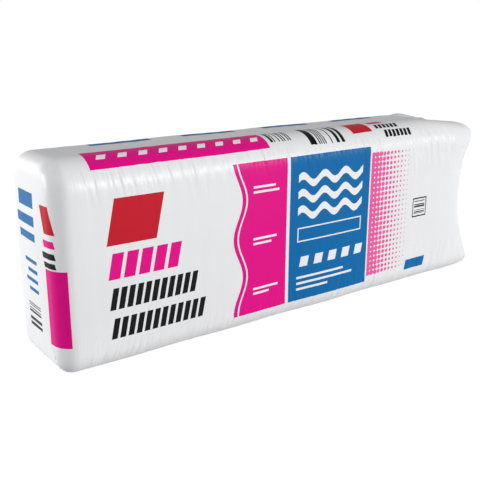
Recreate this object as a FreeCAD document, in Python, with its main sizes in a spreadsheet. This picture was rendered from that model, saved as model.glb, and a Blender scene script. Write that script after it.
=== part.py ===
"""A bag of unfaced fiberglass batts: eight batts, each folded once, pressed together in a sealed film bag.

The bag stands on its long narrow side. +X runs along the bag, from its smooth end to its sealed end,
+Y runs through the stack of batts, and +Z is up. The origin is on the floor, under the middle of the bag.
All sizes are in millimetres.
"""
import FreeCAD, Part
import os
import sys

import Sketcher

DRIVING_SIZES = {
    # the batts
    "batt_count": 8,
    "batt_length": 2362,  # a batt laid out flat, 93 in
    "spread_height": 419.2,  # a 15 in wide batt, spread by the squeeze
    "pressed_batt": 26.8,  # one folded batt, both plies, squeezed in the bag
    "ply_gap": 1,  # the slit between the two plies of a folded batt
    "batt_gap": 0.4,  # between one batt and the next
    # the film
    "film_thickness": 1,
    "film_clearance": 0.4,  # between the batts and the film
    "top_radius": 62,
    "bottom_radius": 40,
    "end_radius": 34,
    # the sealed end
    "ear_length": 30,  # how far the film's corners stand out past the batts
    "ear_width": 24,  # the flat crest of each corner, across the bag
    "ear_height": 30,  # the flat crest of each corner, up the bag
    "ear_radius": 12,
    "seal_depth": 18,
    "seal_thickness": 2.4,
    "seal_end_gap": 20,  # from each end of the seal to the side of the bag
}

# Sizes that follow from the driving ones, as expressions
FOLDED_LENGTH = "(Sizes.batt_length / 2)"
STACK_WIDTH = "(Sizes.batt_count * Sizes.pressed_batt + (Sizes.batt_count - 1) * Sizes.batt_gap)"
SKIN = "(Sizes.film_thickness + Sizes.film_clearance)"
BAG_WIDTH = f"({STACK_WIDTH} + 2 * {SKIN})"
BAG_HEIGHT = f"(Sizes.spread_height + 2 * {SKIN})"
BODY_LENGTH = f"({FOLDED_LENGTH} + 2 * {SKIN})"
BAG_LENGTH = f"({BODY_LENGTH} + Sizes.ear_length)"
BAG_START = f"(-{BAG_LENGTH} / 2)"
BODY_END = f"({BAG_START} + {BODY_LENGTH})"

doc = FreeCAD.newDocument("batt_bag")


def make_sheet():
    """The spreadsheet that holds the driving sizes, one row each."""
    sheet = doc.addObject("Spreadsheet::Sheet", "Sizes")
    for row, (name, value) in enumerate(DRIVING_SIZES.items(), start=1):
        sheet.set(f"A{row}", name)
        sheet.set(f"B{row}", str(value))
        sheet.setAlias(f"B{row}", name)
    doc.recompute()


def plane_of(body, role):
    """One of a body's own origin planes."""
    return next(feature for feature in body.Origin.OriginFeatures if feature.Role == role)


def draw_section(sketch, inset):
    """The bag's rounded section, inset on every side: straight sides joined by tangent corner arcs."""
    half, height = 100.0, 400.0
    low, high = 30.0, 50.0
    point = FreeCAD.Vector
    axis = point(0, 0, 1)
    corners = (
        (point(half - low, low, 0), low, -90),
        (point(half - high, height - high, 0), high, 0),
        (point(high - half, height - high, 0), high, 90),
        (point(low - half, low, 0), low, 180),
    )
    ends = []
    for centre, radius, start in corners:
        turn = (FreeCAD.Units.Quantity(f"{angle} deg").getValueAs("rad").Value for angle in (start, start + 90))
        arc = Part.ArcOfCircle(Part.Circle(centre, axis, radius), *turn)
        ends.append((arc.StartPoint, arc.EndPoint))
        sketch.addGeometry(arc, False)
    for here in range(4):
        after = (here + 1) % 4
        line = sketch.addGeometry(Part.LineSegment(ends[here][1], ends[after][0]), False)
        sketch.addConstraint(Sketcher.Constraint("Tangent", here, 2, line, 1))
        sketch.addConstraint(Sketcher.Constraint("Tangent", line, 2, after, 1))
    right, top, left, bottom = 4, 5, 6, 7
    for line, kind in ((right, "Vertical"), (top, "Horizontal"), (left, "Vertical"), (bottom, "Horizontal")):
        sketch.addConstraint(Sketcher.Constraint(kind, line))
    sketch.addConstraint(Sketcher.Constraint("Equal", 1, 2))
    sketch.addConstraint(Sketcher.Constraint("Symmetric", right, 1, left, 2, -2))
    named = (
        ("bottom_corner", ("Radius", 0, low), f"Sizes.bottom_radius - {inset}"),
        ("top_corner", ("Radius", 1, high), f"Sizes.top_radius - {inset}"),
        ("floor_gap", ("DistanceY", -1, 1, bottom, 1, 0.5), inset),
        ("tall", ("DistanceY", right, 1, right, 2, height - low - high),
         f"{BAG_HEIGHT} - Sizes.bottom_radius - Sizes.top_radius"),
        ("wide", ("DistanceX", left, 2, right, 1, 2 * half), f"{BAG_WIDTH} - 2 * {inset}"),
    )
    for name, values, expression in named:
        index = sketch.addConstraint(Sketcher.Constraint(*values))
        sketch.renameConstraint(index, name)
        sketch.setExpression(f"Constraints.{name}", expression)


def edges_in_plane(shape, x):
    """The names of a solid's edges that lie in the plane at that X."""
    return [
        f"Edge{number}"
        for number, edge in enumerate(shape.Edges, start=1)
        if abs(edge.BoundBox.XMin - x) < 1e-6 and abs(edge.BoundBox.XMax - x) < 1e-6
    ]


def rounded_block(name, inset, start, length, far_radius):
    """A bar of the bag's section, inset on every side, with both of its ends rounded."""
    body = doc.addObject("PartDesign::Body", name)
    sketch = body.newObject("Sketcher::SketchObject", f"{name}_section")
    sketch.AttachmentSupport = [(plane_of(body, "YZ_Plane"), "")]
    sketch.MapMode = "FlatFace"
    sketch.setExpression(".AttachmentOffset.Base.z", start)
    draw_section(sketch, inset)
    doc.recompute()
    pad = body.newObject("PartDesign::Pad", f"{name}_bar")
    pad.Profile = sketch
    pad.setExpression("Length", length)
    doc.recompute()
    near_end = pad.Shape.BoundBox.XMin
    far_end = pad.Shape.BoundBox.XMax
    rounded = pad
    for end, x, radius in (("near", near_end, "Sizes.end_radius"), ("far", far_end, far_radius)):
        fillet = body.newObject("PartDesign::Fillet", f"{name}_{end}_end")
        fillet.Base = (rounded, edges_in_plane(rounded.Shape, x))
        fillet.setExpression("Radius", f"{radius} - {inset}")
        doc.recompute()
        rounded = fillet
    return body


def hollow(name, axis_turn, span, across, place):
    """A wide shallow cylinder that dishes the sealed end: as deep as the ears are long, and span wide."""
    depth = "Sizes.ear_length"
    radius = f"(({span}) * ({span}) / 4 + {depth} * {depth}) / (2 * {depth})"
    cylinder = doc.addObject("Part::Cylinder", name)
    cylinder.setExpression("Radius", radius)
    cylinder.setExpression("Height", across)
    cylinder.Placement.Rotation = axis_turn
    for direction, expression in place(radius).items():
        cylinder.setExpression(f".Placement.Base.{direction}", expression)
    return cylinder


def combine(kind, name, base, tool):
    """Base cut by, fused with or kept in common with tool."""
    result = doc.addObject(f"Part::{kind}", name)
    result.Base = base
    result.Tool = tool
    return result


def make_film_bag():
    """The film bag: a closed skin with a smooth end, and an end that is drawn in and sealed, with four ears."""
    outside = rounded_block("film_outside", "0", BAG_START, BAG_LENGTH, "Sizes.ear_radius")
    inside = rounded_block(
        "film_inside",
        "Sizes.film_thickness",
        f"{BAG_START} + Sizes.film_thickness",
        f"{BODY_LENGTH} - 2 * Sizes.film_thickness",
        "Sizes.end_radius",
    )
    up_span = f"{BAG_HEIGHT} - 2 * Sizes.ear_height"
    across_span = f"{BAG_WIDTH} - 2 * Sizes.ear_width"
    up_hollow = hollow(
        "hollow_up",
        FreeCAD.Rotation(FreeCAD.Vector(1, 0, 0), 90),
        up_span,
        BAG_WIDTH,
        lambda radius: {"x": f"{BODY_END} + {radius}", "y": f"{BAG_WIDTH} / 2", "z": f"{BAG_HEIGHT} / 2"},
    )
    across_hollow = hollow(
        "hollow_across",
        FreeCAD.Rotation(),
        across_span,
        BAG_HEIGHT,
        lambda radius: {"x": f"{BODY_END} + {radius}"},
    )
    seal = doc.addObject("Part::Box", "seal_fin")
    seal.setExpression("Length", "Sizes.seal_depth + Sizes.film_thickness / 2")
    seal.setExpression("Width", f"{BAG_WIDTH} - 2 * Sizes.seal_end_gap")
    seal.setExpression("Height", "Sizes.seal_thickness")
    seal.setExpression(".Placement.Base.x", f"{BODY_END} - Sizes.film_thickness / 2")
    seal.setExpression(".Placement.Base.y", f"Sizes.seal_end_gap - {BAG_WIDTH} / 2")
    seal.setExpression(".Placement.Base.z", f"({BAG_HEIGHT} - Sizes.seal_thickness) / 2")
    dished_up = combine("Cut", "dished_up", outside, up_hollow)
    dished = combine("Cut", "dished_both_ways", dished_up, across_hollow)
    skin = combine("Cut", "film_skin", dished, inside)
    bag = combine("Fuse", "film_bag", skin, seal)
    bag.Label = "film_bag"
    return bag


def make_batts():
    """The batts, stacked along Y. Each is folded once, with its fold at the bag's smooth end."""
    room = rounded_block("batt_room", SKIN, f"{BAG_START} + {SKIN}", FOLDED_LENGTH, "Sizes.end_radius")
    batts = []
    for number in range(int(DRIVING_SIZES["batt_count"])):
        side = f"({number} * (Sizes.pressed_batt + Sizes.batt_gap) - {STACK_WIDTH} / 2)"
        slab = doc.addObject("Part::Box", f"batt_{number + 1}_slab")
        slit = doc.addObject("Part::Box", f"batt_{number + 1}_slit")
        slab.setExpression("Width", "Sizes.pressed_batt")
        slit.setExpression("Width", "Sizes.ply_gap")
        slab.setExpression(".Placement.Base.y", side)
        slit.setExpression(".Placement.Base.y", f"{side} + (Sizes.pressed_batt - Sizes.ply_gap) / 2")
        slab.setExpression(".Placement.Base.x", BAG_START)
        slit.setExpression(".Placement.Base.x", f"{BAG_START} + {SKIN} + Sizes.pressed_batt / 2")
        for block in (slab, slit):
            block.setExpression("Length", BAG_LENGTH)
            block.setExpression("Height", BAG_HEIGHT)
        ply_pair = combine("Common", f"batt_{number + 1}_plies", room, slab)
        batt = combine("Cut", f"batt_{number + 1}", ply_pair, slit)
        batt.Label = f"batt_{number + 1}"
        batts.append(batt)
    return batts


def check(pieces):
    """Stops if an object failed, or a piece isn't one valid solid."""
    failed = [item.Name for item in doc.Objects if "Invalid" in item.State or "Error" in item.State]
    broken = [
        piece.Label
        for piece in pieces
        if piece.Shape.isNull() or not piece.Shape.isValid() or len(piece.Shape.Solids) != 1
    ]
    if failed or broken:
        sys.exit(f"failed objects: {failed}; broken pieces: {broken}")


def main():
    make_sheet()
    pieces = [make_film_bag(), *make_batts()]
    doc.recompute()
    check(pieces)
    os.makedirs("parts", exist_ok=True)
    for piece in pieces:
        piece.Shape.exportStep(f"parts/{piece.Label}.step")
        box = piece.Shape.BoundBox
        print(
            f"{piece.Label}: {box.XLength:.1f} x {box.YLength:.1f} x {box.ZLength:.1f} mm,",
            f"{piece.Shape.Volume / 1e6:.3f} litres",
        )


main()
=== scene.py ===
# %% [markdown]
# # A bagged pack of glass wool batts
# The object is a long bag of printed polyethylene film. It is drawn tight round eight batts of
# pink glass wool that were folded once and squeezed. The bag stands on its long narrow side.
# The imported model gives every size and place. Here the film gets its gathers, creases, sealed end
# and print, and the batts get their folded shape and their layers of fibre.

# %% Load the frame
import math
import random

import bpy
import numpy as np
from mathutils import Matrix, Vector


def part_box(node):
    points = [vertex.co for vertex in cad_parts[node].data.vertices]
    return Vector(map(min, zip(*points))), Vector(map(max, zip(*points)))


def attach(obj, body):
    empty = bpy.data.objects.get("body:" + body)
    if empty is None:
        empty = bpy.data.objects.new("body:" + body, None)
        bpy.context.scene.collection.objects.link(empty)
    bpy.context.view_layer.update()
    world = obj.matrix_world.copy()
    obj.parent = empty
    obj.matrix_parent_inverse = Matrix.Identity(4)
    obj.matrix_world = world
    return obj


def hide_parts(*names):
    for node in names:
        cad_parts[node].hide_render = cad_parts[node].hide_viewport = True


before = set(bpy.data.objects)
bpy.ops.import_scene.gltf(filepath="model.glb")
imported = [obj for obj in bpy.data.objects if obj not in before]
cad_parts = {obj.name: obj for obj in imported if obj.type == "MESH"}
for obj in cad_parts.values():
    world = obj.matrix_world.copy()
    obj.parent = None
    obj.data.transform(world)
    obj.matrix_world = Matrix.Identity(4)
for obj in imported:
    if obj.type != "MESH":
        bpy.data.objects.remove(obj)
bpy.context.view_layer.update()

bag_low, bag_high = (Vector(corner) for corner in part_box("film_bag"))
BATT_NODES = sorted(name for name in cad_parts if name.startswith("batt_"))
print("bag", [round(side, 4) for side in bag_high - bag_low], "m, batts", len(BATT_NODES))

# %% [markdown]
# ## The camera
# The pack is seen from its front left, a little from above, so that the long front, the smooth end
# and the top all show. A lens of 55 mm keeps the long sides' perspective calm. The camera is placed
# by what it looks at, a direction and a distance, because those are easy to picture and to change.

# %% Place the camera
AIM_ALONG = -0.191      # metres from the middle of the pack, on its front
AZIMUTH = math.radians(-36.1)
ELEVATION = math.radians(16.3)
DISTANCE = 1.564
LENS = 54.75            # millimetres, on a sensor 36 mm wide

aim = Vector((AIM_ALONG, bag_low.y, (bag_low.z + bag_high.z) / 2 + 0.0015))
backwards = Vector((
    math.sin(AZIMUTH) * math.cos(ELEVATION),
    -math.cos(AZIMUTH) * math.cos(ELEVATION),
    math.sin(ELEVATION),
))
camera = bpy.data.objects.new("camera", bpy.data.cameras.new("camera"))
camera.data.lens = LENS
camera.location = aim + backwards * DISTANCE
camera.rotation_euler = (math.pi / 2 - ELEVATION, 0, AZIMUTH)
bpy.context.scene.collection.objects.link(camera)
bpy.context.scene.camera = camera
print("camera at", [round(value, 3) for value in camera.location])

# %% [markdown]
# ## Colours and nodes
# Colours are written as a designer would, in sRGB hex, and Blender's shaders want linear light, so
# one function turns the first into the second. Another adds a shader node with its settings and
# its links, which keeps each material short enough to read as a recipe.

# %% Helpers for materials
def linear(hex_colour):
    """The linear colour, with an alpha of 1, of an sRGB hex colour such as #FF8800."""
    shares = [int(hex_colour[place:place + 2], 16) / 255 for place in (1, 3, 5)]
    return [c / 12.92 if c <= 0.04045 else ((c + 0.055) / 1.055) ** 2.4 for c in shares] + [1.0]


def add(tree, kind, inputs=None, **settings):
    """A new node. Each input is a plain value, or the socket of another node to link from."""
    node = tree.nodes.new("ShaderNode" + kind)
    for name, value in settings.items():
        setattr(node, name, value)
    for name, value in (inputs or {}).items():
        if isinstance(value, bpy.types.NodeSocket):
            tree.links.new(value, node.inputs[name])
        else:
            node.inputs[name].default_value = value
    return node


def new_material(name):
    """An empty node material and its output node."""
    material = bpy.data.materials.new(name)
    material.use_nodes = True
    material.node_tree.nodes.clear()
    return material, add(material.node_tree, "OutputMaterial")


print("film white in linear light:", [round(c, 3) for c in linear("#EEEFF1")])

# %% [markdown]
# ## Floor, backdrop and light
# A studio shot of a pack is lit by large soft lamps on a white sweep. One lamp faces the long front
# from the right and one the smooth end from behind, so the round edge between them stays a shade
# darker, and a weak one keeps the back from going dull. The top gets little but the room's light, so
# it comes out greyer. The floor and the room look white to the camera through the Light Path node,
# so that no extra light has to fall on the film to make them white. A share of plain diffuse in the
# floor keeps the pack's shadow.

# %% Light the studio
FLOOR_SIZE = 60.0
ROOM_LEVEL = 0.34
SHADOW_SHARE = 0.12     # how much of the floor's look is its own shading
FLOOR_GLOW = 1.12       # over 1, because the floor's own shading is darker than white

floor_mesh = bpy.data.meshes.new("studio_floor")
half_floor = FLOOR_SIZE / 2
floor_mesh.from_pydata(
    [(-half_floor, -half_floor, 0), (half_floor, -half_floor, 0),
     (half_floor, half_floor, 0), (-half_floor, half_floor, 0)],
    [], [(0, 1, 2, 3)])
floor = bpy.data.objects.new("studio_floor", floor_mesh)
bpy.context.scene.collection.objects.link(floor)

paper, paper_out = new_material("white background paper")
tree = paper.node_tree
path = add(tree, "LightPath")
seen = add(tree, "Math", {0: path.outputs["Is Camera Ray"], 1: path.outputs["Is Glossy Ray"]},
           operation="MAXIMUM")
seen = add(tree, "Math", {0: seen.outputs[0], 1: path.outputs["Is Transmission Ray"]},
           operation="MAXIMUM")
share = add(tree, "Math", {0: seen.outputs[0], 1: 1 - SHADOW_SHARE}, operation="MULTIPLY")
matt = add(tree, "BsdfDiffuse", {"Color": linear("#A8A8A8")})
glow = add(tree, "Emission", {"Color": linear("#FFFFFF"), "Strength": FLOOR_GLOW})
mixed = add(tree, "MixShader", {0: share.outputs[0], 1: matt.outputs[0], 2: glow.outputs[0]})
tree.links.new(mixed.outputs[0], paper_out.inputs["Surface"])
floor_mesh.materials.append(paper)

world = bpy.data.worlds.new("studio room")
world.use_nodes = True
bpy.context.scene.world = world
tree = world.node_tree
tree.nodes.clear()
path = add(tree, "LightPath")
level = add(tree, "MapRange", {"Value": path.outputs["Is Camera Ray"],
                               "To Min": ROOM_LEVEL, "To Max": 1.0})
room = add(tree, "Background", {"Color": linear("#FFFFFF"), "Strength": level.outputs[0]})
world_out = add(tree, "OutputWorld")
tree.links.new(room.outputs[0], world_out.inputs["Surface"])


def add_softbox(name, place, width, height, watts):
    """A large soft lamp that faces the middle of the pack."""
    data = bpy.data.lights.new(name, "AREA")
    data.shape = "RECTANGLE"
    data.size = width
    data.size_y = height
    data.energy = watts
    lamp = bpy.data.objects.new(name, data)
    lamp.location = place
    middle = Vector((0, 0, (bag_low.z + bag_high.z) / 2))
    lamp.rotation_euler = (middle - lamp.location).to_track_quat("-Z", "Y").to_euler()
    bpy.context.scene.collection.objects.link(lamp)


add_softbox("key_softbox", Vector((5.3, -10.0, 2.4)), 3.0, 3.0, 956)
add_softbox("end_softbox", Vector((-4.6, 2.4, 0.9)), 1.5, 1.5, 174)
add_softbox("back_softbox", Vector((-1.8, 4.6, 0.8)), 1.5, 1.5, 39)

# %% [markdown]
# ## The bag's section
# Cut across, the bag is a tall rectangle with round corners: wide ones along the top, where the film
# is pulled over the squeezed batts, and tighter ones along the floor. The bag is made as rings of
# points like a lofted sleeve, because film is one sheet that goes round the stack. Every ring has
# the same number of points, more of them on the corners, where the gathers are.

# %% Points once round the bag
TOP_RADIUS = 0.062
BOTTOM_RADIUS = 0.040
HALF_WIDTH = (bag_high.y - bag_low.y) / 2
HEIGHT = bag_high.z
MIDDLE_Z = HEIGHT / 2


def section_ring():
    """Rows of y, z, outward normal and length along the film, from the floor's front corner up."""
    low_y, low_z = HALF_WIDTH - BOTTOM_RADIUS, BOTTOM_RADIUS
    top_y, top_z = HALF_WIDTH - TOP_RADIUS, HEIGHT - TOP_RADIUS
    corners = [     # centre, radius, first angle, steps on the corner, steps to the next one
        (-low_y, low_z, BOTTOM_RADIUS, -90, 12, 26),
        (-top_y, top_z, TOP_RADIUS, 180, 14, 10),
        (top_y, top_z, TOP_RADIUS, 90, 14, 26),
        (low_y, low_z, BOTTOM_RADIUS, 0, 12, 10),
    ]
    ring = []
    for index, (centre_y, centre_z, radius, start, arc_steps, run_steps) in enumerate(corners):
        for step in range(arc_steps + 1):
            angle = math.radians(start - 90 * step / arc_steps)
            ring.append((centre_y + radius * math.cos(angle), centre_z + radius * math.sin(angle),
                         math.cos(angle), math.sin(angle)))
        next_y, next_z, next_radius, next_start = corners[(index + 1) % 4][:4]
        angle = math.radians(next_start)
        goal = np.array([next_y + next_radius * math.cos(angle),
                         next_z + next_radius * math.sin(angle)])
        corner_end = np.array(ring[-1])
        for step in range(1, run_steps):
            point = corner_end[:2] + (goal - corner_end[:2]) * step / run_steps
            ring.append((point[0], point[1], corner_end[2], corner_end[3]))
    ring = np.array(ring)
    steps = np.linalg.norm(np.diff(ring[:, :2], axis=0), axis=1)
    return ring.T, np.concatenate([[0], np.cumsum(steps)])


(ring_y, ring_z, normal_y, normal_z), ring_length = section_ring()
print("points round the bag", len(ring_y), "film round it", round(ring_length[-1], 3), "m")

# %% [markdown]
# ## Gathers and creases
# Film that is stretched along the pack and pulled down over a rounded edge gathers into fine creases
# across that edge. The bold ones are about 10 mm apart and closer by the sealed end, with fine ones
# between them. They start on the round of the edge and die out on the flat face, some short and some
# long. Real geometry shows them best, because they catch
# the light along the whole edge. Each crease is a soft ridge or groove of its own, with its own
# width, height, length and slant, drawn from a seeded generator so that every run gives the same bag.

# %% Describe the creases
def smooth_step(value):
    """0 below 0, 1 above 1, and a soft S between them."""
    value = np.clip(value, 0, 1)
    return value * value * (3 - 2 * value)


CREASE_START = (0.02, 0.035)    # how far a crease reaches back on to the round of the edge
SHARP_FADE, SOFT_FADE = 0.014, 0.045    # how it begins there, and how it dies out on the face
BOLD = (0.0011, 0.0018)     # half widths of the creases that show from afar
FINE = (0.0009, 0.0013)     # and of the ones between them
dice = random.Random(19)


def length_at(y_side, height):
    """The length along the film where a long face, front (-1) or back (1), is at that height."""
    on_face = (np.sign(ring_y) == y_side) & (np.abs(normal_y) > 0.05)
    places = np.where(on_face)[0]
    return ring_length[places[np.argmin(np.abs(ring_z[places] - height))]]


def crease_set(start_x, end_x, edge_length, towards_face, spacing, widths, reach, depth, slant):
    """Creases across one long edge, as (x, width, height, near end, far end, slant)."""
    creases = []
    x = start_x
    while x < end_x - 2 * spacing:
        nearness = float(smooth_step((x - start_x) / (end_x - start_x)))
        x += spacing * (1.4 - 0.6 * nearness) * dice.uniform(0.5, 1.5)
        far = reach * dice.uniform(0.45, 1.0) * (0.8 + 0.4 * nearness)
        near = dice.uniform(*CREASE_START)
        ends = (edge_length - towards_face * near, edge_length + towards_face * far)
        height = depth * dice.uniform(0.45, 1.0) * dice.choice((-1, -1, 1))
        creases.append((x, dice.uniform(*widths), height, *ends, slant + dice.uniform(-0.08, 0.08)))
    return creases


def crease_relief(x, length):
    """How far each point of the sleeve stands out, in metres, for a grid of x and film length."""
    first_x, last_x = x.min(), x.max()
    relief = np.zeros(x.shape)
    creases = []
    for side in (-1, 1):
        outward = -side
        top = length_at(side, HEIGHT - TOP_RADIUS * 0.75)
        foot = length_at(side, BOTTOM_RADIUS * 0.9)
        creases += crease_set(first_x + 0.02, last_x, top, -outward, 0.0105, BOLD, 0.082, 0.0014,
                              0.26 * side)
        creases += crease_set(first_x + 0.02, last_x, top, -outward, 0.0055, FINE, 0.050, 0.0007,
                              0.15 * side)
        creases += crease_set(first_x + 0.02, last_x, foot, outward, 0.0095, BOLD, 0.070, 0.0013,
                              -0.30 * side)
    for centre, width, height, near_end, far_end, slant in creases:
        middle = (near_end + far_end) / 2
        columns = np.where(np.abs(x - centre).min(axis=1) < 5 * width + 0.02)[0]
        part = slice(columns[0], columns[-1] + 1)
        across = (x[part] - centre - slant * (length[part] - middle)) / width
        reach = abs(far_end - near_end)
        share = (length[part] - near_end) / (far_end - near_end)
        along = smooth_step(share * reach / SHARP_FADE) * smooth_step((1 - share) * reach / SOFT_FADE)
        relief[part] += height * np.exp(-across ** 2 / 2) * along
    print("creases", len(creases), "deepest", round(float(relief.min()) * 1000, 2), "mm")
    return relief


# %% [markdown]
# Under the creases the wool pushes back unevenly, so the flat faces aren't flat. A few long soft
# waves, a millimetre or so high, give the slow light and dark of a stuffed bag.

# %% Describe the slow waves
BROAD_WAVE, NARROW_WAVE = 0.00036, 0.00006      # metres for one wave of each kind


def slow_waves(x, length):
    """Soft unevenness of the stuffed faces, in metres."""
    waves = np.zeros(x.shape)
    for _ in range(14):
        across = dice.uniform(6, 26)            # radians a metre along the pack
        upward = dice.uniform(-16, 16)
        waves += dice.uniform(0.3, 1.0) * np.sin(across * x + upward * length + dice.uniform(0, 6.3))
    narrow = np.zeros(x.shape)
    for _ in range(10):
        across = dice.uniform(60, 190)
        narrow += dice.uniform(0.3, 1.0) * np.sin(across * x + dice.uniform(-8, 8) * length
                                                  + dice.uniform(0, 6.3))
    return BROAD_WAVE * waves + NARROW_WAVE * narrow


# %% [markdown]
# ## The two ends
# One end is smooth: the film runs over it in one piece with soft round edges. The other is the end
# that was heat-sealed after filling. Its four corners stand out as ears, and between them the film is
# drawn in to a straight seal that sticks out as a fin. Both ends carry on from the sleeve's last
# ring: the rings step round the edge and then shrink to the middle of the end.

# %% Shape of the ends
END_RADIUS = 0.034
END_BULGE = 0.003
EAR_LENGTH = 0.030
EAR_RADIUS = 0.012      # how sharply the film turns over the tip of an ear
LIP_RADIUS = 0.047      # and between the ears, where it is drawn in
TOP_PINCH = 0.10        # how much narrower the upper ears are than the body
PINCH_REACH = 0.060     # the stretch of the sleeve over which they get narrower
TOP_FALL = 0.013        # how far the top hangs down at the upper ears
FALL_REACH = 0.17       # the stretch over which it comes down
EDGE_HUMP = 0.013       # a bulge of the top's back edge, before it comes down
HUMP_X = 0.495
HUMP_LENGTH = 0.028
DRAWN_IN = 0.110        # the stretch of the sleeve that the seal pulls on
COLUMN = 0.0017         # spacing of the sleeve's rings
RELIEF_LIMIT = 0.0026   # creases are no deeper than this, so they stay off the wool
BLUNT = 0.22            # the share of an ear's point that is rounded off
FRONT_EASE = 0.008      # how far the front falls back towards the smooth end
EASE_REACH = 0.08
EDGE_STEPS = 11
CAP_STEPS = 20
EAR_POWER = 1.7         # how the lip curves from the waist out to an ear
EAR_ZONE = 0.75 * MIDDLE_Z      # the height over which the upper ears' pull grows
WAIST_PULL, LID_PULL = 0.005, 0.004     # how far the seal draws the sides and the top in
PLEAT_DEPTH, PLEAT_PITCH = 0.0022, 0.031


def ear_depth(y, z):
    """0 on the tips of the ears and 1 in the drawn-in middle of the sealed end."""
    beside = 1 - np.clip(np.abs(y) / HALF_WIDTH, 0, 1) ** EAR_POWER
    above = 1 - np.clip(np.abs(z - MIDDLE_Z) / (HEIGHT / 2), 0, 1) ** EAR_POWER
    depth = (beside ** 5 + above ** 5) ** 0.2
    return np.clip((depth - BLUNT) / (1 - BLUNT), 0, 1)


LIP_ROUND = EAR_RADIUS + (LIP_RADIUS - EAR_RADIUS) * smooth_step(ear_depth(ring_y, ring_z))


def shrunk_ring(share, inset):
    """The ring moved in by inset and shrunk about the middle of the end to that share."""
    y = (ring_y - inset * normal_y) * share
    z = MIDDLE_Z + (ring_z - inset * normal_z - MIDDLE_Z) * share
    return y, z


def front_ease(x):
    """How far the front falls back near the smooth end, by each point's x."""
    near = np.clip(1 - (x - bag_low.x) / EASE_REACH, 0, 1)
    return FRONT_EASE * near ** 2 * np.clip(-normal_y, 0, 1) ** 2


def smooth_end_rows():
    """Rings from near the middle of the smooth end out to the start of the sleeve."""
    rows = []
    for share in np.linspace(0, 1, CAP_STEPS + 1)[1:-1]:
        y, z = shrunk_ring(share, END_RADIUS)
        x = np.full(len(y), bag_low.x + END_BULGE * share ** 2)
        rows.append((x, y + front_ease(x) * share, z))
    for angle in np.linspace(0, math.pi / 2, EDGE_STEPS + 1)[:-1]:
        y, z = shrunk_ring(1, END_RADIUS * (1 - math.sin(angle)))
        x = bag_low.x + END_BULGE + END_RADIUS * (1 - math.cos(angle))
        rows.append((np.full(len(y), x), y + front_ease(x), z))
    return rows


def sealed_end_rows(lip_x):
    """Rings from the end of the sleeve round the lip and in to the middle of the sealed end."""
    rows = []
    for angle in np.linspace(math.pi / 2, 0, EDGE_STEPS + 1)[1:]:
        y, z = shrunk_ring(1, LIP_ROUND * (1 - math.sin(angle)))
        pulled = waist_pull(1.0)
        rows.append((lip_x - LIP_ROUND + LIP_ROUND * math.cos(angle),
                     *drape(y - pulled * normal_y, z - pulled * normal_z, 0.0)))
    for share in np.linspace(1, 0, CAP_STEPS + 1)[1:-1]:
        y, z = shrunk_ring(share, LIP_ROUND)
        pulled = waist_pull(1.0) * share
        depth = ear_depth(ring_y * share, MIDDLE_Z + (ring_z - MIDDLE_Z) * share)
        pleats = PLEAT_DEPTH * np.sin(y * 2 * math.pi / PLEAT_PITCH + 1.3 * np.sin(z * 31))
        towards_seal = 1 - np.clip(np.abs(z - MIDDLE_Z) / (HEIGHT / 2), 0, 1)
        x = bag_high.x - EAR_LENGTH * depth + pleats * towards_seal * (1 - share ** 4)
        rows.append((x, *drape(y - pulled * normal_y, z - pulled * normal_z, 0.0, share)))
    return rows


def drape(y, z, from_lip, share=1.0):
    """The ring narrowed and lowered near the upper ears, by each point's distance from the lip."""
    upper = smooth_step((ring_z - MIDDLE_Z) / EAR_ZONE) * share
    narrow = TOP_PINCH * np.clip(1 - from_lip / PINCH_REACH, 0, 1) ** 1.5
    fall = TOP_FALL * smooth_step(1 - from_lip / FALL_REACH)
    return y * (1 - narrow * upper), z - fall * upper


def waist_pull(nearness):
    """How far the seal pulls the faces in between the ears, for a nearness from 0 to 1."""
    face = np.abs(normal_y) * (1 - (np.abs(ring_z - MIDDLE_Z) / (HEIGHT / 2)) ** 2)
    lid = np.abs(normal_z) * (1 - (np.abs(ring_y) / HALF_WIDTH) ** 2)
    return nearness ** 2 * (WAIST_PULL * face + LID_PULL * lid)


print("ears", EAR_LENGTH * 1000, "mm long, film turns in", round(LIP_ROUND.max() * 1000), "mm")

# %% [markdown]
# ## The whole sleeve
# The sleeve's rings run between the two ends. Near the sealed end each point slides on to its own
# place on the lip, far out on the ears and less far between them. The creases and slow waves push
# points along the film's outward normal. The side that stands on the floor is pressed flat. The
# upper ears are drawn in and hang down a little, and the front falls back to a softer edge by the
# smooth end, so both are done here for every ring.

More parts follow.
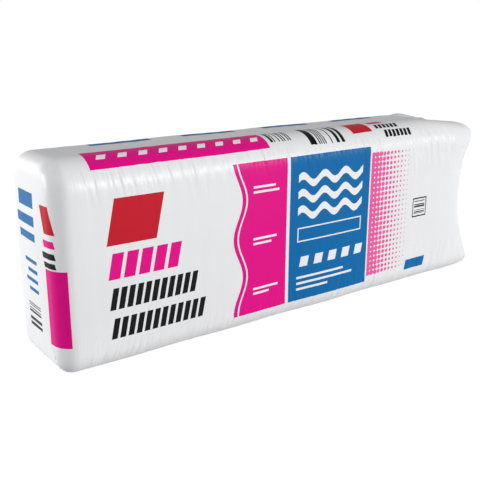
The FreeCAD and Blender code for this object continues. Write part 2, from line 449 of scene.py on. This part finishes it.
# %% Build the bag's rings
def sleeve_rows():
    """Rings of the sleeve with its creases, and the x of the lip at each point round it."""
    lip_x = bag_high.x - EAR_LENGTH * ear_depth(ring_y, ring_z)
    first_x = bag_low.x + END_BULGE + END_RADIUS
    lip_start = lip_x - LIP_ROUND
    last_x = lip_start.min() - 0.04
    plain = np.linspace(first_x, last_x, int((last_x - first_x) / COLUMN))
    x = np.repeat(plain[:, None], len(ring_y), axis=1)
    stretch = np.linspace(0, 1, 41)[1:, None]
    x = np.concatenate([x, last_x + stretch * (lip_start - last_x)[None, :]])
    length = np.repeat(ring_length[None, :], len(x), axis=0)
    relief = crease_relief(x, length) + slow_waves(x, length)
    relief = RELIEF_LIMIT * np.tanh(relief / RELIEF_LIMIT)
    back_edge = 2 * np.clip(normal_y, 0, 1) * np.clip(normal_z, 0, 1)
    relief += EDGE_HUMP * np.exp(-((x - HUMP_X) / HUMP_LENGTH) ** 2 / 2) * back_edge
    relief *= smooth_step((x - first_x) / 0.03) * smooth_step((lip_start[None, :] - x) / 0.025)
    relief *= np.where(normal_z < -0.97, 0.2, 1.0)[None, :]
    rows = []
    for row_x, row_relief in zip(x, relief):
        nearness = np.clip(1 - (lip_start - row_x) / DRAWN_IN, 0, 1)
        out = row_relief - waist_pull(nearness)
        rows.append((row_x, *drape(ring_y + out * normal_y + front_ease(row_x),
                                   ring_z + out * normal_z, lip_start - row_x)))
    return rows, lip_x


sleeve, lip_x = sleeve_rows()
bag_rows = smooth_end_rows() + sleeve + sealed_end_rows(lip_x)
print("rings", len(bag_rows), "points", len(bag_rows) * len(ring_y))

# %% [markdown]
# ## From rings to a mesh
# Neighbouring rings are joined by quads, and each end is closed by a fan to its middle point. The
# fin of the seal is a thin strip with small crimps, added to the same mesh, as it is the same film.

# %% Make the bag's mesh
def make_piece(name, vertices, faces):
    """A smooth-shaded mesh object in the scene, which the caller attaches to the pack."""
    mesh = bpy.data.meshes.new(name)
    mesh.from_pydata([tuple(map(float, vertex)) for vertex in vertices], [], faces)
    mesh.validate()
    mesh.shade_smooth()
    piece = bpy.data.objects.new(name, mesh)
    bpy.context.scene.collection.objects.link(piece)
    return piece


def ring_faces(row_count, around):
    """Quads between rings, and a fan at each end to the two points that come after the rings."""
    faces = []
    for row in range(row_count - 1):
        for place in range(around):
            beside = (place + 1) % around
            faces.append((row * around + place, (row + 1) * around + place,
                          (row + 1) * around + beside, row * around + beside))
    first_tip = row_count * around
    last = (row_count - 1) * around
    for place in range(around):
        beside = (place + 1) % around
        faces.append((first_tip, place, beside))
        faces.append((first_tip + 1, last + beside, last + place))
    return faces


SEAL_DEPTH = 0.015
SEAL_THICKNESS = 0.0012


def seal_fin(offset):
    """The crimped fin of the seal: two layers of a strip, joined round their rim."""
    across, outward = 72, 8
    root_x = bag_high.x - EAR_LENGTH - 0.004
    half_seal = HALF_WIDTH - LIP_RADIUS - 0.006
    vertices = []
    for layer in (0.5, -0.5):
        for i in range(across + 1):
            for j in range(outward + 1):
                y = -half_seal + 2 * half_seal * i / across
                droop = 0.0025 * math.sin(y * 34 + 0.6) * (j / outward) + 0.0012 * math.sin(y * 150)
                crimp = 0.0003 * math.cos(math.pi * j)
                vertices.append((root_x + SEAL_DEPTH * j / outward, y,
                                 MIDDLE_Z + droop + crimp + layer * SEAL_THICKNESS))
    layer_size = (across + 1) * (outward + 1)

    def at(layer, i, j):
        """The number of a point of the strip in the whole bag."""
        return offset + layer * layer_size + i * (outward + 1) + j

    faces = []
    for i in range(across):
        for j in range(outward):
            faces.append((at(0, i, j), at(0, i, j + 1), at(0, i + 1, j + 1), at(0, i + 1, j)))
            faces.append((at(1, i, j), at(1, i + 1, j), at(1, i + 1, j + 1), at(1, i, j + 1)))
        for j, turn in ((0, 1), (outward, -1)):
            rim = (at(0, i, j), at(0, i + 1, j), at(1, i + 1, j), at(1, i, j))
            faces.append(rim[::turn])
    for j in range(outward):
        for i, turn in ((0, -1), (across, 1)):
            rim = (at(0, i, j), at(0, i, j + 1), at(1, i, j + 1), at(1, i, j))
            faces.append(rim[::turn])
    return vertices, faces


bag_points = np.concatenate([np.stack(row, axis=1) for row in bag_rows])
bag_points[:, 2] = np.maximum(bag_points[:, 2], 0)
tips = np.array([(bag_low.x, 0, MIDDLE_Z), (bag_high.x - EAR_LENGTH, 0, MIDDLE_Z)])
fin_vertices, fin_faces = seal_fin(len(bag_points) + 2)
bag = make_piece("printed_film_bag", np.concatenate([bag_points, tips, fin_vertices]),
                 ring_faces(len(bag_rows), len(ring_y)) + fin_faces)
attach(bag, "root")
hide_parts("film_bag")
print("bag triangles", sum(len(face.vertices) - 2 for face in bag.data.polygons))

# %% [markdown]
# ## The print
# The film is printed in flat inks before it is made into a bag: magenta and blue fields, leaning
# bars in red, magenta and black, white waves that stand for wool, and a block of made-up bars. Plain
# shapes are drawn by the shader from the place on the bag, so their edges stay sharp at any size and
# no picture is needed. Each shape is a mask, 1 inside it and 0 outside. The masks of one ink are
# joined, and the ink is laid over what is under it.

# %% Masks for printed shapes
film, film_out = new_material("printed polyethylene film")
tree = film.node_tree
place = add(tree, "TexCoord").outputs["Object"]
axes = add(tree, "SeparateXYZ", {0: place})
x_place, y_place, z_place = axes.outputs[0], axes.outputs[1], axes.outputs[2]


def sum_up(operation, *values):
    """One socket from several, joined two by two with a Math node's operation."""
    joined = values[0]
    for value in values[1:]:
        joined = add(tree, "Math", {0: joined, 1: value}, operation=operation).outputs[0]
    return joined


def within(value, low, high):
    """1 where the value lies between low and high."""
    return add(tree, "Math", {0: value, 1: (low + high) / 2, 2: (high - low) / 2},
               operation="COMPARE").outputs[0]


def block(across, up, left, right, low, high, lean=0.0):
    """A rectangle, whose sides lean to the right by that share of their height."""
    if lean:
        across = add(tree, "Math", {0: up, 1: -lean, 2: across},
                     operation="MULTIPLY_ADD").outputs[0]
        left, right = left - lean * low, right - lean * low
    return sum_up("MULTIPLY", within(across, left, right), within(up, low, high))


def striped(across, up, left, count, pitch, share, low, high, lean):
    """A leaning block cut into that many stripes, each of that share of the pitch."""
    whole = block(across, up, left, left + count * pitch, low, high, lean)
    leaned = add(tree, "Math", {0: up, 1: -lean, 2: across}, operation="MULTIPLY_ADD").outputs[0]
    steps = sum_up("DIVIDE", sum_up("SUBTRACT", leaned, left - lean * low), pitch)
    phase = add(tree, "Math", {0: steps}, operation="FRACT").outputs[0]
    return sum_up("MULTIPLY", whole, sum_up("LESS_THAN", phase, share))


def wave(along, height, wavelength, shift=0.0):
    """A sine of that height and length, in metres, along a socket."""
    turns = add(tree, "Math", {0: along, 1: 2 * math.pi / wavelength, 2: shift},
                operation="MULTIPLY_ADD").outputs[0]
    swing = add(tree, "Math", {0: turns}, operation="SINE").outputs[0]
    return sum_up("MULTIPLY", swing, height)


def made_up_bars(along, bar_width):
    """Stripes of random black and white, like the bars of a printed code."""
    cell = add(tree, "Math", {0: sum_up("DIVIDE", along, bar_width)}, operation="FLOOR").outputs[0]
    chance = add(tree, "TexWhiteNoise", {"W": cell}, noise_dimensions="1D")
    return sum_up("GREATER_THAN", chance.outputs["Value"], 0.48)


# The front and the back carry the same print, so the back is read from its own left to right.
facing = add(tree, "Math", {0: y_place}, operation="SIGN").outputs[0]
along = sum_up("MULTIPLY", sum_up("MULTIPLY", facing, x_place), -1.0)
up = z_place
on_end = sum_up("LESS_THAN", x_place, bag_low.x + 0.015)
round_end = sum_up("LESS_THAN", x_place, bag_low.x + 0.026)
on_top = sum_up("GREATER_THAN", z_place, HEIGHT - 0.035)
print("shape masks ready")

# %% [markdown]
# The long faces hold the large shapes: a magenta field with a wavy edge, a blue panel with white
# waves, a halftone of pink dots that fades towards the sealed end, and leaning bars.

# %% Print of the long faces
PANEL_LOW, PANEL_HIGH = 0.037, 0.377
BLUE_LEFT, BLUE_RIGHT = -0.053, 0.196
MAGENTA_LEFT, MAGENTA_RIGHT = -0.196, -0.062
DOTS_RIGHT = 0.335
LEAN = 0.22

wavy_edge = sum_up("ADD", along, wave(up, 0.012, 0.17))
magenta_field = sum_up("MULTIPLY", sum_up("GREATER_THAN", wavy_edge, MAGENTA_LEFT),
                       sum_up("LESS_THAN", along, MAGENTA_RIGHT), within(up, PANEL_LOW, PANEL_HIGH))
blue_panel = block(along, up, BLUE_LEFT, BLUE_RIGHT, PANEL_LOW, PANEL_HIGH)

rising = sum_up("ADD", up, wave(along, 0.0095, 0.066))
ripple = sum_up("PINGPONG", sum_up("SUBTRACT", rising, 0.246), 0.019)
white_waves = sum_up("MULTIPLY", sum_up("LESS_THAN", ripple, 0.0085),
                     block(along, rising, BLUE_LEFT + 0.024, BLUE_RIGHT - 0.024, 0.2365, 0.3315))
frame_bar = sum_up("SUBTRACT",
                   block(along, up, BLUE_LEFT + 0.024, BLUE_RIGHT - 0.024, 0.178, 0.212),
                   block(along, up, BLUE_LEFT + 0.027, BLUE_RIGHT - 0.027, 0.181, 0.209))
edge_line = sum_up("MULTIPLY", within(wavy_edge, MAGENTA_LEFT + 0.010, MAGENTA_LEFT + 0.014),
                   within(up, PANEL_LOW, PANEL_HIGH))
white_marks = [block(along, up, -0.022 + 0.0435 * n, 0.002 + 0.0435 * n, 0.118, 0.142, LEAN)
               for n in range(5)]
white_marks += [block(along, up, BLUE_LEFT + 0.024, BLUE_LEFT + reach, low, low + 0.0055)
                for low, reach in ((0.089, 0.17), (0.075, 0.20), (0.061, 0.12))]
white_marks += [block(along, up, -0.155, -0.155 + reach, low, low + 0.005)
                for low, reach in ((0.32, 0.06), (0.309, 0.07), (0.205, 0.065),
                                   (0.194, 0.05), (0.09, 0.07), (0.079, 0.045))]
white_ink = sum_up("MAXIMUM", white_waves, frame_bar, edge_line, *white_marks)

cells = add(tree, "CombineXYZ", {0: sum_up("DIVIDE", along, 0.0125), 1: sum_up("DIVIDE", up, 0.0125)})
inside_cell = add(tree, "VectorMath", {0: cells.outputs[0]}, operation="FRACTION").outputs[0]
off_centre = add(tree, "VectorMath", {0: inside_cell, 1: (0.5, 0.5, 0)}, operation="DISTANCE")
dot_size = add(tree, "MapRange", {"Value": along, "From Min": BLUE_RIGHT, "From Max": DOTS_RIGHT,
                                  "To Min": 0.62, "To Max": 0.10}).outputs[0]
pink_dots = sum_up("MULTIPLY", sum_up("LESS_THAN", off_centre.outputs["Value"], dot_size),
                   block(along, up, BLUE_RIGHT + 0.0045, DOTS_RIGHT, 0.0505, 0.3625))

red_bars = [block(along, up, -0.502, -0.394, 0.252, 0.343, LEAN)]
magenta_bars = [striped(along, up, -0.502, 5, 0.0325, 0.76, 0.184, 0.236, LEAN)]
black_bars = [striped(along, up, -0.502, 11, 0.0182, 0.70, 0.122, 0.166, LEAN),
              striped(along, up, -0.502, 12, 0.0182, 0.70, 0.062, 0.104, LEAN)]
blue_bars = [block(along, up, 0.338, 0.412, 0.040, 0.066, LEAN)]
code_box = [block(along, up, 0.3575, 0.4105, 0.178, 0.2285)]
code_inner = block(along, up, 0.3605, 0.4075, 0.1815, 0.225)
code_bars = sum_up("MULTIPLY", block(along, up, 0.364, 0.404, 0.186, 0.2205),
                   made_up_bars(sum_up("ADD", up, 0.31), 0.0015))
print("print on the long faces, panels", round(BLUE_RIGHT - MAGENTA_LEFT, 3), "m wide")

# %% [markdown]
# The smooth end and the top repeat the same inks in small, because a stacked pack may show only
# one of these faces.

# %% Print of the end and the top
end_strip = sum_up("MULTIPLY", round_end, block(y_place, up, -0.13, -0.058, 0.062, 0.216))
end_magenta = [block(y_place, up, -0.091, -0.058, 0.259, 0.273, LEAN)]
end_red = [block(y_place, up, -0.092, -0.062, 0.285, 0.338, LEAN)]
end_black = [block(y_place, up, -0.091, -0.052, 0.237, 0.249, LEAN),
             block(y_place, up, -0.091, -0.056, 0.219, 0.230, LEAN)]
end_blue = [block(y_place, up, -0.018, 0.055, 0.322, 0.352),
            block(y_place, up, -0.018, 0.070, 0.286, 0.306),
            block(y_place, up, -0.018, 0.062, 0.256, 0.272)]
end_blue += [block(y_place, up, -0.018, 0.030 + 0.012 * (n % 2), 0.150 + 0.02 * n, 0.158 + 0.02 * n)
             for n in range(4)]
end_code = sum_up("MULTIPLY", block(y_place, up, -0.018, 0.042, 0.070, 0.128),
                  made_up_bars(up, 0.0024))

top_magenta = [block(x_place, y_place, -0.520, -0.100, -0.096, -0.042),
               block(x_place, y_place, 0.236, 0.286, -0.058, -0.038)]
top_white = [striped(x_place, y_place, -0.500, 9, 0.045, 0.42, -0.078, -0.064, 0.6)]
top_red = [block(x_place, y_place, 0.158, 0.222, -0.086, -0.036)]
top_black = [striped(x_place, y_place, 0.240, 6, 0.0135, 0.70, -0.080, -0.064, 0.3),
             striped(x_place, y_place, 0.256, 7, 0.0135, 0.70, -0.100, -0.086, 0.3)]
top_code = sum_up("MULTIPLY",
                  sum_up("MAXIMUM", block(x_place, y_place, -0.090, -0.026, -0.086, -0.046),
                         block(x_place, y_place, 0.016, 0.134, -0.098, -0.036)),
                  made_up_bars(x_place, 0.0032))
top_blue = [block(x_place, y_place, -0.46 + 0.22 * n, -0.32 + 0.22 * n, 0.030, 0.052)
            for n in range(4)]
print("print on the end and the top ready")

# %% [markdown]
# Ink on film is thin and even. The film under it is opaque white, cloudy by a percent or two, and
# the inks keep their full colour, since studio light is set so that colours render as written.

# %% Lay the inks over the film
def face_ink(face, shapes):
    """Shapes of one ink that are printed only on the face of that mask."""
    return sum_up("MULTIPLY", face, sum_up("MAXIMUM", *shapes))


ink_layers = [
    ("#E8088A", sum_up("MAXIMUM", magenta_field, *magenta_bars, end_strip, face_ink(on_end, end_magenta),
                       face_ink(on_top, top_magenta))),
    ("#006BAB", sum_up("MAXIMUM", blue_panel, *blue_bars, face_ink(on_end, end_blue),
                       face_ink(on_top, top_blue))),
    ("#EE5FA4", pink_dots),
    ("#C8182C", sum_up("MAXIMUM", *red_bars, face_ink(on_end, end_red), face_ink(on_top, top_red))),
    ("#08080A", sum_up("MAXIMUM", *black_bars, *code_box, face_ink(on_end, end_black + [end_code]),
                       face_ink(on_top, top_black + [top_code]))),
    ("#F4F4F6", sum_up("MAXIMUM", white_ink, code_inner, face_ink(on_top, top_white))),
    ("#08080A", code_bars),
]
cloud = add(tree, "TexNoise", {"Vector": place, "Scale": 1 / 0.12, "Detail": 3.0})
film_colour = add(tree, "Mix", {0: cloud.outputs[0], 6: linear("#EBECEE"), 7: linear("#F1F2F4")},
                  data_type="RGBA").outputs[2]
for ink, mask in ink_layers:
    film_colour = add(tree, "Mix", {0: mask, 6: film_colour, 7: linear(ink)},
                      data_type="RGBA").outputs[2]
inked = sum_up("MAXIMUM", *(mask for ink, mask in ink_layers))
print("inks", len(ink_layers), "nodes", len(tree.nodes))

# %% [markdown]
# ## The film's surface
# Blown polyethylene film has a soft gloss. Its index of refraction is 1.5, and its roughness is
# about 0.4. Ink is duller than bare film, so it keeps its depth of colour. The finest gathers are
# too small for the mesh, so a noise that is stretched across the pack and squeezed along it adds
# them as bump, strong by the long edges and faint on the faces.

# %% Finish of the film
GATHER_PITCH = 0.0060
GATHER_REACH = 0.110
CRINKLE = 0.022

squeezed = add(tree, "VectorMath", {0: place, 1: (1 / GATHER_PITCH, 1 / GATHER_REACH, 1 / GATHER_REACH)},
               operation="MULTIPLY")
gathers = add(tree, "TexNoise", {"Vector": squeezed.outputs[0], "Scale": 1.0, "Detail": 1.5})
from_middle = add(tree, "Math", {0: sum_up("SUBTRACT", z_place, MIDDLE_Z)}, operation="ABSOLUTE")
by_edge = add(tree, "MapRange", {"Value": from_middle.outputs[0], "From Min": 0.10, "From Max": 0.175,
                                 "To Min": 0.12, "To Max": 1.0}, interpolation_type="SMOOTHSTEP")
off_end = add(tree, "MapRange", {"Value": x_place, "From Min": bag_low.x + 0.01,
                                 "From Max": bag_low.x + 0.05, "To Min": 0.05, "To Max": 1.0},
              interpolation_type="SMOOTHSTEP")
gather_height = sum_up("MULTIPLY", gathers.outputs[0], by_edge.outputs[0], off_end.outputs[0])
crinkle = add(tree, "TexNoise", {"Vector": place, "Scale": 1 / CRINKLE, "Detail": 2.0})
coarse_bump = add(tree, "Bump", {"Height": gather_height, "Distance": 0.0007, "Strength": 0.9})
fine_bump = add(tree, "Bump", {"Height": crinkle.outputs[0], "Distance": 0.0005, "Strength": 0.3,
                               "Normal": coarse_bump.outputs[0]})
gloss = add(tree, "MapRange", {"Value": crinkle.outputs[0], "To Min": 0.32, "To Max": 0.44})
shine = add(tree, "MapRange", {"Value": inked, "To Min": 0.32, "To Max": 0.12})
film_shader = add(tree, "BsdfPrincipled", {"Base Color": film_colour, "Roughness": gloss.outputs[0],
                                           "IOR": 1.5, "Specular IOR Level": shine.outputs[0],
                                           "Normal": fine_bump.outputs[0]})
tree.links.new(film_shader.outputs[0], film_out.inputs["Surface"])
bag.data.materials.append(film)
print("film finished, nodes", len(tree.nodes))

# %% [markdown]
# ## The batts
# Each batt is a mat of pink glass wool. It was folded once, so its two plies lie face to face and
# the fold points at the smooth end. The stack was squeezed before bagging, and the outer batts were
# pressed to the round of the bag. A batt is made as a slab that follows a hairpin line, with
# its cut edges up and down, and every point that would stand out of the bag's round is moved in.

# %% Press points into the round of the bag
WOOL_GAP = 0.004        # from the film's outside to the wool
PLY_SLIT = 0.001


def press_into_bag(points):
    """The same points moved in until each keeps its gap from the film, all the way round."""
    x_low, x_high = bag_low.x + END_BULGE + WOOL_GAP, bag_high.x - EAR_LENGTH - 3 * WOOL_GAP
    x = np.clip(points[:, 0], x_low, x_high)
    y, z = points[:, 1].copy(), points[:, 2] - MIDDLE_Z
    round_in = np.zeros(len(x))
    ends = ((x - x_low, END_RADIUS, END_RADIUS), (x_high - x, DRAWN_IN, LIP_RADIUS))
    for depth, reach, radius in ends:
        short = 1 - np.clip(depth / reach, 0, 1)
        round_in = np.maximum(round_in, radius * (1 - np.sqrt(1 - short ** 2)))
    corner = np.where(z > 0, TOP_RADIUS, BOTTOM_RADIUS)
    for _ in range(4):
        over_y = np.abs(y) - (HALF_WIDTH - corner)
        over_z = np.abs(z) - (HEIGHT / 2 - corner)
        reach = np.maximum(np.hypot(over_y, over_z), 1e-9)
        at_corner = (over_y > 0) & (over_z > 0)
        beside = over_y - over_z > 0
        room = np.where(at_corner, corner - reach, corner - np.maximum(over_y, over_z))
        push = np.maximum(WOOL_GAP + round_in - room, 0)
        y -= np.sign(y) * push * np.where(at_corner, over_y / reach, beside)
        z -= np.sign(z) * push * np.where(at_corner, over_z / reach, ~beside)
    from_lip = bag_high.x - EAR_LENGTH - LIP_RADIUS - x
    upper = smooth_step(z / EAR_ZONE)
    y *= 1 - TOP_PINCH * upper * np.clip(1 - from_lip / PINCH_REACH, 0, 1) ** 1.5
    z -= TOP_FALL * upper * smooth_step(1 - from_lip / FALL_REACH)
    return np.stack([x, y, z + MIDDLE_Z], axis=1)


print("wool keeps", WOOL_GAP * 1000, "mm from the outside of the film")

# %% Build the folded batts
PLY_STEPS, FOLD_STEPS, THICK_STEPS, TALL_STEPS = 52, 10, 4, 16


def hairpin(x_low, x_high, y_low, y_high):
    """Points and left-hand normals of the line that a folded batt's middle follows."""
    radius = (y_high - y_low + PLY_SLIT) / 4
    centre_y = (y_low + y_high) / 2
    fold_x = x_low + (y_high - y_low) / 2
    line = [(x, centre_y - radius, 0.0, -1.0) for x in np.linspace(x_high, fold_x, PLY_STEPS + 1)]
    for step in range(1, FOLD_STEPS):
        angle = -math.pi / 2 - math.pi * step / FOLD_STEPS
        line.append((fold_x + radius * math.cos(angle), centre_y + radius * math.sin(angle),
                     math.cos(angle), math.sin(angle)))
    line += [(x, centre_y + radius, 0.0, 1.0) for x in np.linspace(fold_x, x_high, PLY_STEPS + 1)]
    return np.array(line), (y_high - y_low - PLY_SLIT) / 2


def build_batt(node):
    """The folded batt that stands for one CAD node, as a closed slab of plies."""
    low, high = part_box(node)
    index = int(node.split("_")[1])
    y_low = -HALF_WIDTH + WOOL_GAP + (index - 1) * 2 * (HALF_WIDTH - WOOL_GAP) / len(BATT_NODES)
    y_high = y_low + 2 * (HALF_WIDTH - WOOL_GAP) / len(BATT_NODES) - 0.0006
    line, thickness = hairpin(low[0] + WOOL_GAP, high[0] - WOOL_GAP, y_low, y_high)
    stations, layers = len(line), THICK_STEPS + 1
    grid = np.zeros((stations, layers, TALL_STEPS + 1, 3))
    for layer in range(layers):
        off = (layer / THICK_STEPS - 0.5) * thickness
        for tall in range(TALL_STEPS + 1):
            grid[:, layer, tall, 0] = line[:, 0] + line[:, 2] * off
            grid[:, layer, tall, 1] = line[:, 1] + line[:, 3] * off
            grid[:, layer, tall, 2] = WOOL_GAP + (HEIGHT - 2 * WOOL_GAP) * tall / TALL_STEPS
    ragged = np.random.default_rng(40 + index).normal(0, 0.0006, grid.shape[:3])
    cut_edge = np.zeros(grid.shape[:3])
    cut_edge[:, :, 0] = np.abs(ragged[:, :, 0])
    cut_edge[:, :, -1] = -np.abs(ragged[:, :, -1])
    grid[..., 2] += cut_edge
    number = np.arange(stations * layers * (TALL_STEPS + 1)).reshape(grid.shape[:3])
    sides = [number[:, 0, :], number[:, -1, ::-1], number[:, ::-1, 0], number[:, :, -1],
             number[0, ::-1, :], number[-1, :, :]]
    faces = []
    for side in sides:
        for i in range(side.shape[0] - 1):
            for j in range(side.shape[1] - 1):
                faces.append((side[i, j], side[i, j + 1], side[i + 1, j + 1], side[i + 1, j]))
    used, compact = np.unique(np.array(faces), return_inverse=True)
    points = press_into_bag(grid.reshape(-1, 3)[used])
    quads = compact.reshape(-1, 4).tolist()
    return make_piece(f"folded_{node}", points, quads)


batts = [build_batt(node) for node in BATT_NODES]
for batt, node in zip(batts, BATT_NODES):
    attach(batt, "root")
    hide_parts(node)
print("batts", len(batts), "triangles each", 2 * len(batts[0].data.polygons))

# %% [markdown]
# Glass wool is spun fibre that settles in thin layers, held by a binder that is dyed pink. Its
# layers lie parallel to the batt's faces, so the colour runs in streaks along the pack that are a
# few millimetres apart across it. It has no gloss at all, only a faint sheen at the edges, where
# loose fibres stand up.

# %% Finish of the wool
LAYER_PITCH = 0.0021

wool, wool_out = new_material("pink glass wool")
tree = wool.node_tree
place = add(tree, "TexCoord").outputs["Object"]
laid = add(tree, "VectorMath", {0: place, 1: (1 / 0.05, 1 / LAYER_PITCH, 1 / 0.03)},
           operation="MULTIPLY")
layers_noise = add(tree, "TexNoise", {"Vector": laid.outputs[0], "Scale": 1.0, "Detail": 4.0,
                                      "Roughness": 0.65})
tufts = add(tree, "TexNoise", {"Vector": place, "Scale": 1 / 0.014, "Detail": 5.0})
blend = add(tree, "Math", {0: layers_noise.outputs[0], 1: 0.6, 2: tufts.outputs[0]},
            operation="MULTIPLY_ADD")
tone = add(tree, "MapRange", {"Value": blend.outputs[0], "From Min": 0.5, "From Max": 1.1})
wool_colour = add(tree, "Mix", {0: tone.outputs[0], 6: linear("#D9869C"), 7: linear("#F3B9C6")},
                  data_type="RGBA")
fuzz = add(tree, "Bump", {"Height": blend.outputs[0], "Distance": 0.002, "Strength": 0.8})
wool_shader = add(tree, "BsdfPrincipled", {"Base Color": wool_colour.outputs[2], "Roughness": 0.95,
                                           "IOR": 1.45, "Sheen Weight": 0.3,
                                           "Normal": fuzz.outputs[0]})
tree.links.new(wool_shader.outputs[0], wool_out.inputs["Surface"])
for batt in batts:
    batt.data.materials.append(wool)
print("wool finished")

# %% [markdown]
# ## The view
# The render uses Blender's Standard view transform. The looks may stand proud of the imported model
# by a few millimetres and no more.

# %% Set the view transform
bpy.context.scene.view_settings.view_transform = "Standard"
